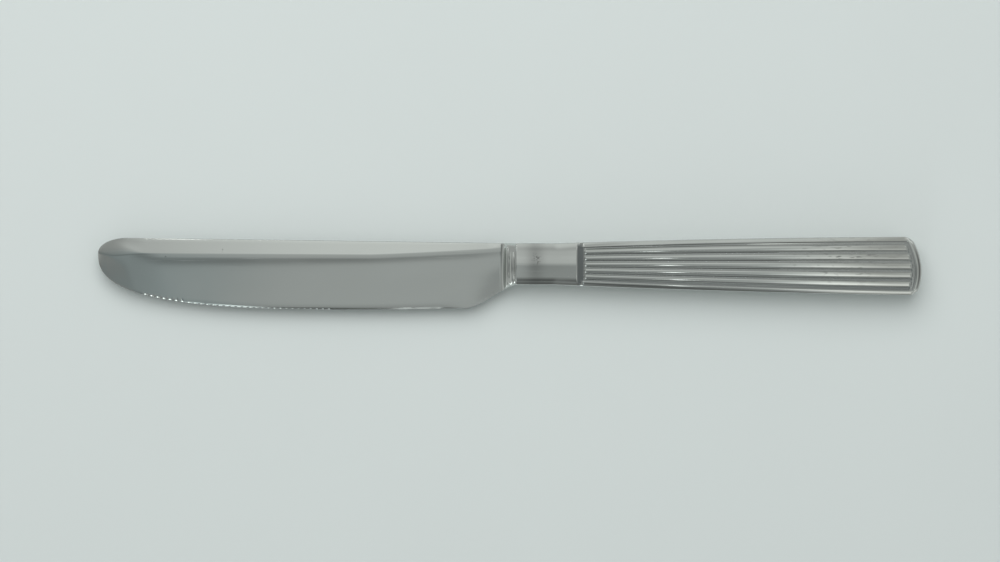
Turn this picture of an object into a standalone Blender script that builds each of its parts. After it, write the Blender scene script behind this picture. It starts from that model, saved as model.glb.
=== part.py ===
"""Lunch knife: a forged blade cemented into a hollow ribbed handle of two brazed half shells.

Modelled in the knife's own frame: x = 0 where collar and handle meet, +X towards the butt, +Y towards
the blade's back, z = 0 the plane of the blade. One empty then lays the whole knife on the ground.
"""

import math

import bmesh
import bpy

# Handle, in metres
HANDLE_LENGTH = 0.1035
HANDLE_THICKNESS = 0.0076
HANDLE_CROWN = 0.0003
NECK_WIDTH = 0.0106
NECK_LENGTH = 0.0160
NECK_FALL = 0.00036
NECK_FALL_WIDTH = 0.0022
FLARE_START = 0.0100
BUTT_WIDTH = 0.0149
SIDE_BOW = 0.00034
BUTT_RADIUS = 0.0143
BUTT_PEAK_BELOW_AXIS = 0.00145
BUTT_BOW_RUN = 0.0250
BUTT_CORNER = 0.0018
RIM_WIDTH = 0.0016
RIM_FALL = 0.00012
RIM_FALL_WIDTH = 0.0012
EDGE_ROUND = 0.0005
BUTT_RIM_WIDTH = 0.0017
BUTT_GROOVE = 0.0006
BAND_LENGTH = 0.0016
RIB_COUNT = 5
RIB_RELIEF = 0.0004
RIB_FLANK = 0.00045
RIB_END_ROUND = 0.0003
RIB_STEPS = 8
GROOVE_FLOOR = 0.0004
SHELL_WALL = 0.0009
GROOVE_WALL = 0.0005
CAVITY_ROUND = 0.0011
BRAZE_THICKNESS = 0.0002
FIT = 0.00005

# Blade
BLADE_REACH = 0.1065
SPINE_HEIGHT = 0.0062
TIP_HEIGHT = 0.0024
TIP_ROUND = 0.0075
TIP_FACET = 0.00002
TIP_RUN = 0.0120
BELLY_DROP = 0.01183
BELLY_AHEAD = 0.0460
BELLY_FULLNESS = 2.78
HEEL_DROP = 0.0113
HEEL_AHEAD = 0.0130
HEEL_RUNOUT = 0.0016
HEEL_THICKNESS = 0.0024
TIP_THICKNESS = 0.0012
SPINE_ROUND = 0.00025
BEVEL_HEIGHT = 0.0024
BEVEL_END_HEIGHT = 0.0043
BEVEL_RUNOUT = 0.0370
BEVEL_STOP = 0.0050
BEVEL_STOP_LENGTH = 0.0020
BEVEL_MIN = 0.0008
BEVEL_DROP = 0.00025
RIDGE_ROUND = 0.00035
EDGE_BEVEL = 0.0006
EDGE_BEVEL_THICKNESS = 0.0005
EDGE_THICKNESS = 0.0003
TOOTH_PITCH = 0.00155
TOOTH_DEPTH = 0.0003
TEETH_FROM = 0.0472
TEETH_TO = 0.0942

# Collar and tang
COLLAR_LENGTH = 0.0024
COLLAR_FILLET = 0.0012
COLLAR_THICKNESS = 0.0048
COLLAR_BELOW_HANDLE = 0.0005
COLLAR_SQUARENESS = 4.0
SHOULDER_LENGTH = 0.0009
SHOULDER_RISE = 0.0003
BEAD_LENGTH = 0.0016
BEAD_HEIGHT = 0.0092
BEAD_BELOW_AXIS = 0.0009
BEAD_RISE = 0.0004
SPIGOT_LENGTH = 0.0025
SPIGOT_SQUARENESS = 4.0
CEMENT_AROUND_TANG = 0.0012
TANG_HEIGHT = 0.0050
TANG_END_HEIGHT = 0.0036
TANG_TO_BUTT = 0.0390
TANG_END_TAPER = 0.0020
TANG_END_DROP = 0.0009
NOTCH_COUNT = 3
NOTCH_DEPTH = 0.0005
NOTCH_LENGTH = 0.0040

# Counts that set how finely a form is drawn, and shares that set its fullness
FACE_ROWS = 6
SECTION_ROWS = FACE_ROWS + 6
TIP_STEPS = 12
BLADE_STEPS = 12
HEEL_STEPS = 6
FILLET_STEPS = 5
SHOULDER_STEPS = 4
BEAD_STEPS = 8
TOOTH_SIDES = 12
TIP_THINNING = 0.5
BEVEL_EASE = 1.2
TOOTH_GAP_SHARE = 0.96

# The most that a rounding, a slope or a bevel takes up of what carries it
MOST_OF_RIM = 0.45
MOST_OF_RIB = 0.35
GROOVE_OF_PITCH = 0.1
ROUND_OF_BEVEL = 0.3
RIDGE_OF_DEPTH = 0.2
EDGE_OF_DEPTH = 0.1
EDGE_BEVEL_OF_BLADE = 0.8
EDGE_OF_BLADE = 0.5

# Worked out from the sizes above
HALF_THICKNESS = HANDLE_THICKNESS / 2
CEILING = HALF_THICKNESS - HANDLE_CROWN - RIB_RELIEF - GROOVE_WALL
PARTING = BRAZE_THICKNESS / 2 + FIT
RIB_START = NECK_LENGTH + BAND_LENGTH
RIB_END = HANDLE_LENGTH - BUTT_RIM_WIDTH - BUTT_GROOVE
TANG_END = HANDLE_LENGTH - TANG_TO_BUTT
TANG_HALF_THICKNESS = CEILING - CEMENT_AROUND_TANG
CUTTER_OVERRUN = SHELL_WALL
TOOTH_RADIUS = TOOTH_GAP_SHARE * TOOTH_PITCH / 2
COLLAR_START = COLLAR_THICKNESS / 2
COLLAR_END = HALF_THICKNESS - COLLAR_BELOW_HANDLE
HEEL_SLOPE = (HEEL_THICKNESS - EDGE_BEVEL_THICKNESS) / 2 / (BEVEL_END_HEIGHT + HEEL_DROP)


def smoothstep(share):
    share = min(max(share, 0.0), 1.0)
    return share * share * (3.0 - 2.0 * share)


def mix(start, end, share):
    return start + (end - start) * share


def spread(start, end, steps):
    """Even places after a start, the last of them at the end."""
    return [mix(start, end, step / steps) for step in range(1, steps + 1)]


def quarter_round(distance, radius):
    """Rise from 0 to 1 over a quarter round, going in from its foot."""
    reach = min(max(distance / radius, 0.0), 1.0)
    return math.sqrt(1.0 - (1.0 - reach) ** 2)


# The handle's plan


def half_width(along):
    """Half the handle's width: a straight neck, then a gently bowed taper to the butt."""
    share = max(along - FLARE_START, 0.0) / (HANDLE_LENGTH - FLARE_START)
    straight = mix(NECK_WIDTH, BUTT_WIDTH, share) / 2
    return straight + 4.0 * SIDE_BOW * share * (1.0 - share)


def plan_point(along, across):
    """Bends a square-ended plan to the handle's own, with round corners and a bowed butt."""
    side = math.copysign(1.0, across)
    corner_x = HANDLE_LENGTH - BUTT_CORNER
    corner_y = half_width(along) - BUTT_CORNER
    past_x = along - corner_x
    past_y = abs(across) - corner_y
    if past_x > 0.0 and past_y > 0.0:
        shrink = max(past_x, past_y) / math.hypot(past_x, past_y)
        along = corner_x + past_x * shrink
        across = side * (corner_y + past_y * shrink)
    fade = smoothstep((along - HANDLE_LENGTH + BUTT_BOW_RUN) / BUTT_BOW_RUN)
    bow = (across + BUTT_PEAK_BELOW_AXIS) ** 2 / (2.0 * BUTT_RADIUS)
    return along - fade * bow, across


# The handle's ribbed top


def rim_edge():
    """The handle's outer rounding, limited by the rim's own width."""
    return min(EDGE_ROUND, MOST_OF_RIM * min(RIM_WIDTH, BUTT_RIM_WIDTH))


def rib_pitch(along):
    return 2.0 * (half_width(along) - RIM_WIDTH) / RIB_COUNT


def rib_taper(along):
    """How close the ribs lie next to their spacing at the butt."""
    return rib_pitch(along) / rib_pitch(HANDLE_LENGTH)


def groove_half(along):
    """Half the flat floor of a groove, limited by the ribs' spacing."""
    return min(GROOVE_FLOOR / 2 * rib_taper(along), GROOVE_OF_PITCH * rib_pitch(along))


def rib_flank(along):
    """Width of a rib's sloping side, limited by the rib and by the rims that face it."""
    narrowest = min(rib_pitch(along), RIM_WIDTH, BUTT_RIM_WIDTH)
    return min(RIB_FLANK * rib_taper(along), MOST_OF_RIB * narrowest)


def rounded_inset(inset_a, inset_b, radius):
    """Distance in from a corner's two sides, with the corner itself rounded."""
    if inset_a < radius and inset_b < radius:
        return radius - math.hypot(radius - inset_a, radius - inset_b)
    return min(inset_a, inset_b)


def crest_share(along, across):
    """1 on the crests of neck, rims and ribs, 0 on the sunk floor between them."""
    floor = groove_half(along)
    from_side = half_width(along) - abs(across)
    in_neck = NECK_LENGTH - along
    in_side_rim = RIM_WIDTH - floor - from_side
    in_butt_rim = BUTT_RIM_WIDTH - (HANDLE_LENGTH - along)
    groove = (across + half_width(along) - RIM_WIDTH) / rib_pitch(along)
    from_groove = abs(groove - round(groove)) * rib_pitch(along)
    from_ends = min(along - RIB_START, RIB_END - along)
    in_rib = rounded_inset(from_groove - floor, from_ends, RIB_END_ROUND)
    inside = max(in_neck, in_side_rim, in_butt_rim, in_rib)
    return smoothstep(inside / rib_flank(along))


def crown_drop(along, across):
    """How far the crowned face falls away to each side of its flat middle rib."""
    middle = rib_pitch(along) / 2
    beside = max(abs(across) - middle, 0.0)
    return HANDLE_CROWN * (beside / (half_width(along) - middle)) ** 2


def edge_drop(along, from_outline):
    """How far the face drops towards the outline: a wide soft fall on the neck, a slight one on the rims."""
    on_neck = smoothstep((NECK_LENGTH - along) / rib_flank(along))
    neck_fall = NECK_FALL * max(1.0 - from_outline / NECK_FALL_WIDTH, 0.0) ** 2
    rim_fall = RIM_FALL * max(1.0 - from_outline / RIM_FALL_WIDTH, 0.0) ** 2
    edge = rim_edge()
    return mix(rim_fall, neck_fall, on_neck) + edge * (1.0 - quarter_round(from_outline, edge))


def shell_height(along, across):
    """Height of the handle's outside above the plane of the blade."""
    from_outline = min(half_width(along) - abs(across), HANDLE_LENGTH - along)
    sunk = RIB_RELIEF * (1.0 - crest_share(along, across))
    return HALF_THICKNESS - crown_drop(along, across) - edge_drop(along, from_outline) - sunk


def cavity_height(along, across, clearance):
    """Height of the hollow inside a half shell, or of what fills it with a clearance."""
    from_outline = min(half_width(along) - abs(across), HANDLE_LENGTH - along)
    climb = quarter_round(from_outline - SHELL_WALL - clearance, CAVITY_ROUND)
    return CEILING - clearance - CAVITY_ROUND * (1.0 - climb)


def shell_stations():
    """Distances behind the joint where the handle's form changes."""
    edge = rim_edge()
    rib_front = RIB_START + rib_flank(RIB_START)
    rib_back = RIB_END - rib_flank(RIB_END)
    butt_rim = HANDLE_LENGTH - BUTT_RIM_WIDTH
    neck = [FIT, FLARE_START / 2, FLARE_START, mix(FLARE_START, NECK_LENGTH, 0.5)]
    neck += slope_steps(NECK_LENGTH - rib_flank(NECK_LENGTH), NECK_LENGTH)
    ribs = slope_steps(RIB_START, rib_front) + spread(rib_front, rib_back, RIB_STEPS)
    ribs += slope_steps(rib_back, RIB_END)[1:]
    butt = slope_steps(butt_rim, butt_rim + rib_flank(butt_rim))
    butt += [HANDLE_LENGTH - inset for inset in (edge, arc_inset(edge), 0.0)]
    return neck + ribs + butt


def slope_steps(start, end):
    """Both ends of a slope and its middle."""
    return [start, (start + end) / 2, end]


def arc_inset(radius):
    """How far in a quarter round lies at its middle."""
    return radius * (1.0 - math.sqrt(0.5))


def shell_lines(along):
    """Places across the handle of the rims' and ribs' edges, from one side to the other."""
    flank = rib_flank(along)
    floor = groove_half(along)
    edge = rim_edge()
    pitch = rib_pitch(along)
    width = half_width(along)
    slope = (floor, floor + flank / 2, floor + flank)
    rim_crest = [RIM_WIDTH - step for step in reversed(slope)]
    insets = [0.0, arc_inset(edge), edge, (edge + rim_crest[0]) / 2] + rim_crest
    rim = [width - inset for inset in insets]
    steps = slope + tuple(pitch - step for step in reversed(slope))
    first = RIM_WIDTH - width
    ribs = [first + rib * pitch + step for rib in range(RIB_COUNT) for step in steps]
    return [-place for place in rim] + ribs + rim[::-1]


def cavity_stations(start, clearance):
    """Distances along the hollow, or along what fills it, with a round far end."""
    end = HANDLE_LENGTH - SHELL_WALL - clearance
    taper = spread(FLARE_START, end - CAVITY_ROUND, RIB_STEPS)
    return [start, FLARE_START] + taper + [end - arc_inset(CAVITY_ROUND), end]


def cavity_lines(along, clearance):
    width = half_width(along) - SHELL_WALL - clearance
    half = [width, width - arc_inset(CAVITY_ROUND), width - CAVITY_ROUND]
    return [-place for place in half] + half[::-1]


# Blade outline and sections


def spine_line(x):
    """The back's height: a straight rise towards the point, ended by a quarter ellipse."""
    rise_end = TIP_ROUND - BLADE_REACH
    line = mix(NECK_WIDTH / 2, SPINE_HEIGHT, x / rise_end)
    past = max((rise_end - x) / TIP_ROUND, 0.0)
    return mix(TIP_HEIGHT, line, math.sqrt(1.0 - past**2))


def edge_line(x):
    """The edge's height: a full round belly, a nearly straight run and an S up to the collar."""
    ahead = -x
    if ahead > BELLY_AHEAD:
        past = (ahead - BELLY_AHEAD) / (BLADE_REACH - BELLY_AHEAD)
        full = (1.0 - past**BELLY_FULLNESS) ** (1.0 / BELLY_FULLNESS)
        return mix(TIP_HEIGHT, -BELLY_DROP, full)
    if ahead > HEEL_AHEAD:
        share = (BELLY_AHEAD - ahead) / (BELLY_AHEAD - HEEL_AHEAD)
        return mix(-BELLY_DROP, -HEEL_DROP, share**2)
    share = smoothstep((HEEL_AHEAD - ahead) / (HEEL_AHEAD + HEEL_RUNOUT))
    return mix(-HEEL_DROP, -NECK_WIDTH / 2, share)


def ridge_line(x):
    """Height of the line where the back's bevel meets the blade's face."""
    climb = min(max(x + BEVEL_RUNOUT, 0.0) / (BEVEL_RUNOUT - BEVEL_STOP), 1.0)
    line = mix(BEVEL_HEIGHT, BEVEL_END_HEIGHT, climb**BEVEL_EASE)
    high = spine_line(x) - BEVEL_MIN * tip_share(x)
    low = mix(edge_line(x), spine_line(x), 0.5)
    return max(min(line, high), low)


def bevel_share(x):
    """How deep the back's bevel is cut: full along the blade, none at the point and by the collar."""
    top, line = spine_line(x), ridge_line(x)
    deep = min((top - line) / (SPINE_HEIGHT - BEVEL_HEIGHT), 1.0) * tip_share(x)
    return deep * smoothstep(-(x + BEVEL_STOP) / BEVEL_STOP_LENGTH)


def tip_share(x):
    """0 at the point, rising to 1 where its rounding ends."""
    past = max((TIP_ROUND - BLADE_REACH - x) / TIP_ROUND, 0.0)
    return math.sqrt(1.0 - past**2)


def blade_section(x):
    """Half a blade section, from the back's middle down one side to the edge's middle."""
    top, line, low = spine_line(x), ridge_line(x), edge_line(x)
    tall = top - low
    thinning = mix(TIP_THINNING, 1.0, tip_share(x))
    thick = mix(HEEL_THICKNESS, TIP_THICKNESS, -x / BLADE_REACH) / 2 * thinning
    back = thick - BEVEL_DROP * bevel_share(x)
    corner = min(SPINE_ROUND, ROUND_OF_BEVEL * (top - line))
    soften = min(RIDGE_ROUND, ROUND_OF_BEVEL * (top - line), RIDGE_OF_DEPTH * tall)
    sharp = min(EDGE_BEVEL, EDGE_OF_DEPTH * tall)
    face_top, face_low = line - soften, low + sharp
    side = min(EDGE_BEVEL_THICKNESS / 2, EDGE_BEVEL_OF_BLADE * thick)
    side = max(side, thick - HEEL_SLOPE * (line - face_low))
    flat = side - min((EDGE_BEVEL_THICKNESS - EDGE_THICKNESS) / 2, EDGE_OF_BLADE * side)
    slope = (thick - side) / (line - face_low)
    rows = [(top, 0.0), (top, back - corner), (top - corner, back)]
    rows += [(line + soften, mix(thick, back, soften / (top - line)))]
    for height in [face_top] + spread(face_top, face_low, FACE_ROWS - 1):
        rows.append((height, side + slope * (height - face_low)))
    return rows + [(low, flat), (low, 0.0)]


def oval_section(middle, half_height, half_thick, squareness):
    """Half a squared oval, with as many points as a blade section."""
    rows = []
    for row in range(SECTION_ROWS):
        turn = math.pi * row / (SECTION_ROWS - 1)
        lean, swell = math.cos(turn), max(math.sin(turn), 0.0)
        rise = math.copysign(abs(lean) ** (2.0 / squareness), lean)
        rows.append((middle + half_height * rise, half_thick * swell ** (2.0 / squareness)))
    return rows


def collar_section(x, half_thick):
    top, low = spine_line(x), edge_line(x)
    return oval_section((top + low) / 2, (top - low) / 2, half_thick, COLLAR_SQUARENESS)


def collar_thickness(x):
    """Half thickness of the collar: a rounded shoulder, then a slow rise to the handle."""
    share = (x + COLLAR_LENGTH) / COLLAR_LENGTH
    off = (x + COLLAR_LENGTH - SHOULDER_LENGTH / 2) / (SHOULDER_LENGTH / 2)
    return mix(COLLAR_START, COLLAR_END, share) + SHOULDER_RISE * max(1.0 - off**2, 0.0)


def bead_swell(x, y):
    """The oval bead that swells out of the collar against the handle."""
    off_x = (x + BEAD_LENGTH / 2) / (BEAD_LENGTH / 2)
    off_y = (y + BEAD_BELOW_AXIS) / (BEAD_HEIGHT / 2)
    return BEAD_RISE * max(1.0 - off_x**2 - off_y**2, 0.0)


def blade_stations():
    """Distances along the blade, close together where its outline turns."""
    tip = -BLADE_REACH
    point = [tip + TIP_FACET]
    point += [tip + TIP_RUN * (step / TIP_STEPS) ** 2 for step in range(1, TIP_STEPS + 1)]
    run = spread(tip + TIP_RUN, -HEEL_AHEAD, BLADE_STEPS)
    heel = spread(-HEEL_AHEAD, -COLLAR_LENGTH - COLLAR_FILLET, HEEL_STEPS)
    return point + run + heel


def ring(x, half):
    """A whole section in space from its half, the far side mirrored."""
    near = [(x, y, z) for y, z in half]
    far = [(x, y, -z) for y, z in half[-2:0:-1]]
    return near + far


def collar_rings():
    """From the blade's face up a hollow fillet to the shoulder, and over the bead."""
    start = -COLLAR_LENGTH - COLLAR_FILLET
    rings = []
    for x in spread(start, -COLLAR_LENGTH, FILLET_STEPS):
        climb = ((x - start) / COLLAR_FILLET) ** 2
        oval = collar_section(x, COLLAR_START)
        rows = [
            (mix(y, oval_y, climb), mix(z, oval_z, climb))
            for (y, z), (oval_y, oval_z) in zip(blade_section(x), oval)
        ]
        rings.append(ring(x, rows))
    shoulder = spread(-COLLAR_LENGTH, -BEAD_LENGTH, SHOULDER_STEPS)
    for x in shoulder + spread(-BEAD_LENGTH, 0.0, BEAD_STEPS):
        oval = collar_section(x, collar_thickness(x))
        rows = [(y, z + bead_swell(x, y) * min(z / COLLAR_START, 1.0)) for y, z in oval]
        rings.append(ring(x, rows))
    return rings


def spigot_half():
    return oval_section(0.0, NECK_WIDTH / 2 - SHELL_WALL - FIT, CEILING - FIT, SPIGOT_SQUARENESS)


def tang_rings(start, grow):
    """The notched tang from a given start, or the pocket round it when grown by a clearance."""
    root, end = SPIGOT_LENGTH, TANG_END
    stations = [(start, 0.0)]
    spacing = (end - root) / (NOTCH_COUNT + 1)
    for notch in range(1, NOTCH_COUNT + 1):
        middle = root + notch * spacing
        lip, floor = NOTCH_LENGTH / 2, NOTCH_LENGTH / 2 - NOTCH_DEPTH
        stations += [(middle - lip, 0.0), (middle - floor, NOTCH_DEPTH)]
        stations += [(middle + floor, NOTCH_DEPTH), (middle + lip, 0.0)]
    stations += [(end - TANG_END_TAPER, 0.0), (end + grow, TANG_END_DROP)]
    rings = []
    for x, bite in stations:
        height = mix(TANG_HEIGHT, TANG_END_HEIGHT, (x - root) / (end - root)) / 2 - bite + grow
        half = oval_section(0.0, height, TANG_HALF_THICKNESS + grow, SPIGOT_SQUARENESS)
        rings.append(ring(x, half))
    return rings


# Blender objects


def clear_scene():
    for obj in list(bpy.data.objects):
        bpy.data.objects.remove(obj, do_unlink=True)


def new_collection(name):
    collection = bpy.data.collections.new(name)
    bpy.context.scene.collection.children.link(collection)
    return collection


def material(name, colour, roughness, metallic):
    made = bpy.data.materials.new(name)
    made.use_nodes = True
    shader = made.node_tree.nodes["Principled BSDF"]
    shader.inputs["Base Color"].default_value = (*colour, 1.0)
    shader.inputs["Roughness"].default_value = roughness
    shader.inputs["Metallic"].default_value = metallic
    return made


def add_object(name, bm, collection):
    """Turns a finished bmesh into an object, smooth apart from its real edges."""
    bmesh.ops.recalc_face_normals(bm, faces=bm.faces)
    mesh = bpy.data.meshes.new(name)
    bm.to_mesh(mesh)
    bm.free()
    mesh.shade_smooth()
    mesh.set_sharp_from_angle(angle=math.radians(30.0))
    obj = bpy.data.objects.new(name, mesh)
    collection.objects.link(obj)
    return obj


def add_cutter(name, bm, collection):
    obj = add_object(name, bm, collection)
    obj.hide_render = True
    obj.display_type = "WIRE"
    return obj


def cut(obj, cutter):
    boolean = obj.modifiers.new("Cut " + cutter.name, "BOOLEAN")
    boolean.operation = "DIFFERENCE"
    boolean.solver = "EXACT"
    boolean.object = cutter


def half_form(stations, lines_of, height_of, floor, side):
    """A pressed form: a grid bent to the plan and raised, with walls down to its open foot."""
    rows = len(lines_of(stations[0]))
    bm = bmesh.new()
    bmesh.ops.create_grid(bm, x_segments=len(stations) - 1, y_segments=rows - 1, size=1.0)
    for vert in bm.verts:
        along = stations[round((vert.co.x + 1.0) / 2.0 * (len(stations) - 1))]
        across = lines_of(along)[round((vert.co.y + 1.0) / 2.0 * (rows - 1))]
        x, y = plan_point(along, across)
        vert.co = (x, y, side * height_of(along, across))
    outline = [e for e in bm.edges if e.is_boundary]
    walls = bmesh.ops.extrude_edge_only(bm, edges=outline)["geom"]
    for part in walls:
        if isinstance(part, bmesh.types.BMVert):
            part.co.z = side * floor
    return bm


def close_foot(bm):
    bmesh.ops.holes_fill(bm, edges=[e for e in bm.edges if e.is_boundary])
    return bm


def loft(rings):
    """A closed body through sections that match point for point, capped at both ends."""
    bm = bmesh.new()
    loops = [[bm.verts.new(point) for point in points] for points in rings]
    count = len(loops[0])
    for fore, aft in zip(loops, loops[1:]):
        for spot in range(count):
            after = (spot + 1) % count
            bm.faces.new((fore[spot], fore[after], aft[after], aft[spot]))
    bm.faces.new(loops[0])
    bm.faces.new(loops[-1])
    return bm


def cavity_form(start, floor, clearance, side):
    """Half of the hollow, or of what fills it with a clearance, open at its foot."""

    def lines(along):
        return cavity_lines(along, clearance)

    def height(along, across):
        return cavity_height(along, across, clearance)

    return half_form(cavity_stations(start, clearance), lines, height, floor, side)


def make_cavity(name, side, cutters):
    """The hollow of one half, run out past the mouth and past the parting plane."""
    bm = cavity_form(-CUTTER_OVERRUN, -CUTTER_OVERRUN, 0.0, side)
    return add_cutter(name, close_foot(bm), cutters)


def make_shell(name, side, cavity, parts):
    """One pressed half of the handle, ribbed outside and hollow inside."""
    bm = half_form(shell_stations(), shell_lines, shell_height, PARTING, side)
    obj = add_object(name, close_foot(bm), parts)
    cut(obj, cavity)
    return obj


def make_seam(name, cavity, parts):
    """The braze between the halves: the handle's outline, hollowed like the shells."""

    def height(along, across):
        return BRAZE_THICKNESS / 2

    bm = half_form(shell_stations(), shell_lines, height, -BRAZE_THICKNESS / 2, 1)
    obj = add_object(name, close_foot(bm), parts)
    cut(obj, cavity)
    return obj


def make_core(name, pocket, parts):
    """The cement inside the shells: half a form, mirrored, with the tang's pocket cut in."""
    obj = add_object(name, cavity_form(SPIGOT_LENGTH + FIT, 0.0, FIT, 1), parts)
    mirror = obj.modifiers.new("Both halves", "MIRROR")
    mirror.use_axis = (False, False, True)
    mirror.merge_threshold = 0.00001
    cut(obj, pocket)
    return obj


def make_pocket(name, cutters):
    return add_cutter(name, loft(tang_rings(SPIGOT_LENGTH - CUTTER_OVERRUN, FIT)), cutters)


def make_teeth(name, cutters):
    """A row of round cutters along the edge, one for each small tooth gap."""
    bm = bmesh.new()
    count = round((TEETH_TO - TEETH_FROM) / TOOTH_PITCH)
    for tooth in range(count):
        x = -TEETH_FROM - tooth * TOOTH_PITCH
        rise = edge_line(x + TOOTH_RADIUS) - edge_line(x - TOOTH_RADIUS)
        slope = rise / (2.0 * TOOTH_RADIUS)
        out = (TOOTH_RADIUS - TOOTH_DEPTH) / math.hypot(1.0, slope)
        made = bmesh.ops.create_cone(
            bm,
            cap_ends=True,
            segments=TOOTH_SIDES,
            radius1=TOOTH_RADIUS,
            radius2=TOOTH_RADIUS,
            depth=HEEL_THICKNESS,
        )
        bmesh.ops.translate(bm, verts=made["verts"], vec=(x + slope * out, edge_line(x) - out, 0.0))
    return add_cutter(name, bm, cutters)


def make_blade(name, teeth, parts):
    """One forging from the point to the end of the tang."""
    rings = [ring(x, blade_section(x)) for x in blade_stations()]
    rings += collar_rings()
    rings += [ring(x, spigot_half()) for x in (0.0, SPIGOT_LENGTH)]
    rings += tang_rings(SPIGOT_LENGTH, 0.0)
    obj = add_object(name, loft(rings), parts)
    cut(obj, teeth)
    return obj


def make_ground_empty(parts):
    """Lays the knife flat: the middle of its footprint at the origin, the lower face on the ground."""
    empty = bpy.data.objects.new("lunch_knife_origin", None)
    empty.location.x = (BLADE_REACH - HANDLE_LENGTH) / 2
    empty.location.y = (BELLY_DROP - BUTT_WIDTH / 2) / 2
    empty.location.z = HALF_THICKNESS
    parts.objects.link(empty)
    return empty


def main():
    clear_scene()
    parts = new_collection("lunch_knife")
    cutters = new_collection("lunch_knife_cutters")
    front_cavity = make_cavity("front_cavity", 1, cutters)
    back_cavity = make_cavity("back_cavity", -1, cutters)
    blade_steel = material("blade_steel", (0.56, 0.57, 0.56), 0.18, 1.0)
    handle_steel = material("handle_steel", (0.58, 0.59, 0.58), 0.22, 1.0)
    braze = material("braze", (0.70, 0.66, 0.52), 0.30, 1.0)
    cement = material("cement", (0.46, 0.44, 0.40), 0.90, 0.0)
    finish = {
        make_blade("blade", make_teeth("teeth", cutters), parts): blade_steel,
        make_shell("handle_front_shell", 1, front_cavity, parts): handle_steel,
        make_shell("handle_back_shell", -1, back_cavity, parts): handle_steel,
        make_seam("handle_braze_seam", front_cavity, parts): braze,
        make_core("handle_cement_core", make_pocket("tang_pocket", cutters), parts): cement,
    }
    ground = make_ground_empty(parts)
    for obj, look in finish.items():
        obj.data.materials.append(look)
        obj.parent = ground
    for cutter in cutters.objects:
        cutter.parent = ground


main()
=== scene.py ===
"""Looks of a lunch knife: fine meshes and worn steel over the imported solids, with floor, light and camera.

The meshes are worked out in the knife's own frame, as the solids are: x = 0 where collar and handle meet,
+X towards the butt, +Y towards the blade's back, z = 0 the plane of the blade.
"""

import math

import bmesh
import bpy
import numpy as np
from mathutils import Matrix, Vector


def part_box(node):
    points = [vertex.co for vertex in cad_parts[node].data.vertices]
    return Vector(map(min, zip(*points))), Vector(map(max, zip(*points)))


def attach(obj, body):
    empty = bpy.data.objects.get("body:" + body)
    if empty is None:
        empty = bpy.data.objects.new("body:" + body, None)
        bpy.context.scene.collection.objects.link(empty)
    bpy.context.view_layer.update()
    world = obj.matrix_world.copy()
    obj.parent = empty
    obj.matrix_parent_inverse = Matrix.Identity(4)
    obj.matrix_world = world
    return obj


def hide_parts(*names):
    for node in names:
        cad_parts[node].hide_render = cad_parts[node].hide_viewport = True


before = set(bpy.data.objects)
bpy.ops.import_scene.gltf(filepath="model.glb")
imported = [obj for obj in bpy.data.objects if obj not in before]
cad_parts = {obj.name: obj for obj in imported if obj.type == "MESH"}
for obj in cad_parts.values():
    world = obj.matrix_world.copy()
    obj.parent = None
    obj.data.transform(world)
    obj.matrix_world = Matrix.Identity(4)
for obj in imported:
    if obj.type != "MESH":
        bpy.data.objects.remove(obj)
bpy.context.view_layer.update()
SHELL_LOW, SHELL_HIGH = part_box("handle_front_shell")
BLADE_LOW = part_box("blade")[0]

# Handle, in metres
FIT = 0.00005
NECK_WIDTH = 0.0106
NECK_LENGTH = 0.0160
NECK_FALL = 0.00036
NECK_FALL_WIDTH = 0.0022
FLARE_START = 0.0100
MOUTH_ROUND = 0.0003
BUTT_WIDTH = 0.0149
SIDE_BOW = 0.00034
BUTT_RADIUS = 0.0143
BUTT_PEAK_BELOW_AXIS = 0.00145
BUTT_BOW_RUN = 0.0250
BUTT_CORNER = 0.0018
HANDLE_CROWN = 0.0003
RIM_WIDTH = 0.0016
RIM_FALL = 0.0002
RIM_FALL_BY_BUTT = 0.00006
RIM_FALL_WIDTH = 0.0012
EDGE_ROUND = 0.00018
BUTT_RIM_WIDTH = 0.0017
BUTT_GROOVE = 0.0006
BUTT_FALL = 0.0002
BUTT_FALL_WIDTH = 0.0009
BAND_LENGTH = 0.0016
BAND_CLEAN_ENDS = 0.0009
RIM_START_BAND = 0.0007
RIB_COUNT = 5
RIB_RELIEF = 0.00015
RIB_RELIEF_WORN = 0.00025
RIB_CROWN = 0.0002
RIB_CROWN_WORN = 0.00009
WORN_FROM = 0.0580
WORN_TO = 0.0820
RIB_FLANK = 0.00045
RIB_END_ROUND = 0.0006
GROOVE_FLOOR = 0.0005
GROOVE_WALL = 0.0005
PRESS_DEPTH = 0.0004
SHELL_WALL = 0.0009
CAVITY_ROUND = 0.0011
BRAZE_THICKNESS = 0.0002
BRAZE_INSET = 0.000005

# How dark the handle's sunk floor is painted, from 0 to 1: partly a dull finish and partly painted shade in
# the recesses, with the painted shade that the low side, away from the light, adds to that and the share
# that the top groove, which faces the light, keeps of it by the neck
DULL_AND_SHADE_BY_NECK = 0.45
DULL_AND_SHADE_BY_BUTT = 0.52
DULL_AND_SHADE_END_GROOVE = 0.5
PAINTED_SHADE_LOW_SIDE = 0.7
PAINTED_SHADE_TOP_GROOVE = 0.25

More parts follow.
